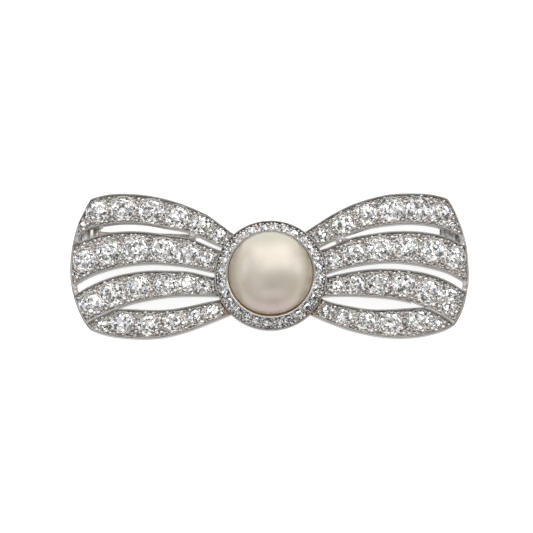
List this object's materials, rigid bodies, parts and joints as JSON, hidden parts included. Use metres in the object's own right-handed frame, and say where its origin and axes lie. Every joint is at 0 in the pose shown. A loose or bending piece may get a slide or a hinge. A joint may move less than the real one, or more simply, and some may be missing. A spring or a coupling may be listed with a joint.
{
  "type": "bow brooch",
  "caption": "Bow brooch with a round pearl in a jewelled ring, two pierced wings of stone-set ribbons, and a hinged pin with a turning catch on its back.",
  "frame": {"origin": "centre of the cup's flat foot, under the pearl, on the surface that the brooch lies on", "axes": "+X along the wings towards the catch, +Y towards the brooch's upper edge, +Z out of its front"},
  "size_m": [0.0599, 0.0225, 0.0119],
  "materials": {
    "platinum": "polished rims, grained field",
    "pearl": "soft pearl lustre",
    "diamond": "polished facets",
    "white_gold": "polished"
  },
  "bodies": {
    "bow": {"bow_frame": "platinum", "pearl": "pearl", "ring_stones": "diamond", "left_stones_1": "diamond", "left_stones_2": "diamond", "left_stones_3": "diamond", "left_stones_4": "diamond", "right_stones_1": "diamond", "right_stones_2": "diamond", "right_stones_3": "diamond", "right_stones_4": "diamond", "hinge_rivet": "white_gold"},
    "pin": {"pin_stem": "white_gold"},
    "catch": {"catch_sleeve": "white_gold"}
  },
  "joints": [
    {"name": "pin_hinge", "type": "hinge", "parent": "bow", "child": "pin", "pos_m": [-0.0264, 0.0075, 0.00085], "axis": [0.0262, 0.9997, 0], "range_deg": [0, 90]},
    {"name": "catch_turn", "type": "hinge", "parent": "bow", "child": "catch", "pos_m": [0.02658, 0.00611, 0.00085], "axis": [0.9997, -0.0262, 0], "range_deg": [-150, 0]}
  ]
}
